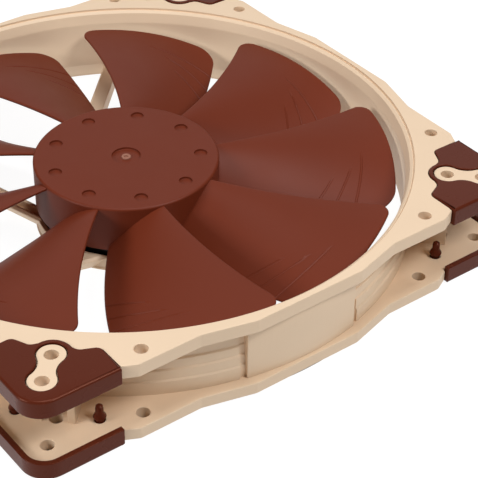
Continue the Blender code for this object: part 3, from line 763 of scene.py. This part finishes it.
WARM_GLOSS = (1.0, 0.5, 0.36, 1.0)
# Painted highlight on the hub's gate ring: a paler colour mixed into the impeller's base colour round the
# axis.
PAINTED_GATE_HIGHLIGHT = (0.32, 0.14, 0.095)
PAINTED_GATE_HIGHLIGHT_RADIUS = 0.0018      # in metres, as everything in the node trees

SHADERS = {
    "frame_plastic": moulded("frame_plastic", (0.80, 0.605, 0.425), 0.48, 0.3),
    "impeller_plastic": moulded("impeller_plastic", (0.148, 0.025, 0.009), 0.48, 0.12).set(
        Specular_IOR_Level=0.2),
    "pad_rubber": moulded("pad_rubber", (0.092, 0.0165, 0.007), 0.27, 0.1).set(
        Specular_IOR_Level=0.25, Specular_Tint=WARM_GLOSS),
    "yoke_steel": moulded("yoke_steel", (0.02, 0.02, 0.021), 0.35, 0.2, 0.6),
    "shaft_steel": turned_metal("shaft_steel", (0.70, 0.70, 0.72), 0.2),
    "magnet": moulded("magnet", (0.04, 0.04, 0.042), 0.6, 0.5),
    "brass": turned_metal("brass", (0.70, 0.50, 0.22), 0.28),
    "nylon": moulded("nylon", (0.75, 0.73, 0.68), 0.5),
    "copper": winding("copper", (0.72, 0.30, 0.13)),
    "board": moulded("board", (0.02, 0.10, 0.04), 0.4),
    "chip": moulded("chip", (0.02, 0.02, 0.02), 0.5),
    "label_film": moulded("label_film", (0.78, 0.72, 0.62), 0.35, 0.05),
}
# Paints the gate ring's highlight as a paler spot at the hub's centre.
SHADERS["impeller_plastic"].painted_highlight_spot(PAINTED_GATE_HIGHLIGHT_RADIUS, PAINTED_GATE_HIGHLIGHT)


def dress(obj, slot):
    obj.data.materials.clear()
    obj.data.materials.append(SHADERS[slot].material)


def dress_cad_nodes():
    """Gives every CAD node the material of its slot in the record."""
    slots = {row["node"]: row["material_slot"] for row in frame["record"]["subparts"]}
    for node, obj in frame["nodes"].items():
        material = SHADERS[slots[node]].material
        if not obj.material_slots:
            obj.data.materials.append(material)
        for place in obj.material_slots:
            place.material = material


# ---------------------------------------------------------------- stage

FLOOR_TOP = -0.3
FLOOR_LOW = -5.0
FLOOR_RADIUS = 4000.0
FLOOR_GLOW = (0.76, 0.95)      # emission as it lights the fan, and as it is seen directly
SHADE_HEIGHTS = (-0.25, -0.2)
SHADE_INSET = 1.6
SHADE_HOLE = 99.4

LIGHT_TARGET = (0.0, 0.0, 0.02)
LIGHTS = (                     # name, place and size in metres, power in watts
    ("key", (0.0, -0.06, 0.85), (0.35, 0.35), 3.2),
    ("back", (0.55, 0.85, 0.6), (1.2, 0.8), 2.2),
    ("front", (0.26, -0.66, 0.87), (0.45, 0.3), 5.9),
    ("left", (-0.86, 0.10, 0.44), (0.4, 0.3), 4.2),
)
SKY_STRENGTH = (0.04, 0.95)    # as it lights the fan, and as a backdrop


def build_stage():
    """A pale floor, and a dark plate under the outlet flange that shades its holes from below."""
    floor = lathe("floor", [(0.0, FLOOR_TOP), (0.0, FLOOR_LOW), (FLOOR_RADIUS, FLOOR_LOW),
                            (FLOOR_RADIUS, FLOOR_TOP)], 64)
    shader = Shader("pale_floor", (0.12, 0.12, 0.12), 0.9)
    shader.tint(shader.noise(3.0, 2.0), 0.99, 1.0)
    shader.set(Specular_IOR_Level=0.1, Emission_Color=(1.0, 1.0, 1.0, 1.0))
    seen_directly = shader.tree.nodes.new("ShaderNodeLightPath").outputs["Is Camera Ray"]
    glow = shader.ramp(seen_directly, *FLOOR_GLOW, 0.0, 1.0)
    shader.tree.links.new(glow, shader.main.inputs["Emission Strength"])
    floor.data.materials.append(shader.material)
    inner = circle((0, 0), SHADE_HOLE, RING_STEPS)
    shade = slab("contact_shade", offset_loop(frame_outline(), SHADE_INSET), [inner], *SHADE_HEIGHTS,
                 edge=0.0, hole_edge=0.0, steps=1)
    shade.data.materials.append(Shader("shaded_floor", (0.3, 0.3, 0.3), 0.9).material)


def area_light(name, place, size, power):
    data = bpy.data.lights.new(name, "AREA")
    data.shape = "RECTANGLE"
    data.size, data.size_y = size
    data.energy = power
    lamp = bpy.data.objects.new(name, data)
    bpy.context.scene.collection.objects.link(lamp)
    lamp.location = place
    lamp.rotation_euler = (Vector(LIGHT_TARGET) - Vector(place)).to_track_quat("-Z", "Y").to_euler()


def build_lights():
    for light in LIGHTS:
        area_light(*light)
    world = bpy.data.worlds.new("studio")
    bpy.context.scene.world = world
    world.use_nodes = True
    background = world.node_tree.nodes["Background"]
    background.inputs["Color"].default_value = (1.0, 1.0, 1.0, 1.0)
    sky = world.node_tree.nodes.new("ShaderNodeMapRange")
    sky.inputs["To Min"].default_value, sky.inputs["To Max"].default_value = SKY_STRENGTH
    seen_directly = world.node_tree.nodes.new("ShaderNodeLightPath").outputs["Is Camera Ray"]
    world.node_tree.links.new(seen_directly, sky.inputs["Value"])
    world.node_tree.links.new(sky.outputs["Result"], background.inputs["Strength"])


def build_camera():
    data = bpy.data.cameras.new("camera")
    data.sensor_width = 36.0
    data.lens = 117.484
    camera = bpy.data.objects.new("camera", data)
    bpy.context.scene.collection.objects.link(camera)
    camera.location = (-0.23999, -0.37532, 0.32215)
    camera.rotation_euler = [math.radians(a) for a in (53.2513, -0.6520, -37.1264)]
    bpy.context.scene.camera = camera


# ---------------------------------------------------------------- assembly

def attach(obj, node, slot, body):
    """Puts a finished piece on its body in place of its CAD node."""
    dress(obj, slot)
    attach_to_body(obj, body)
    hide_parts(node)


bpy.context.scene.view_settings.view_transform = "Standard"
dress_cad_nodes()
attach(build_frame(), "frame", "frame_plastic", "frame")
for pad, pad_node in build_pads():
    attach(pad, pad_node, "pad_rubber", "frame")
attach(build_impeller(), "impeller", "impeller_plastic", "rotor")
attach(build_yoke(), "rotor_cup", "yoke_steel", "rotor")
build_stage()
build_lights()
build_camera()

bpy.context.view_layer.update()
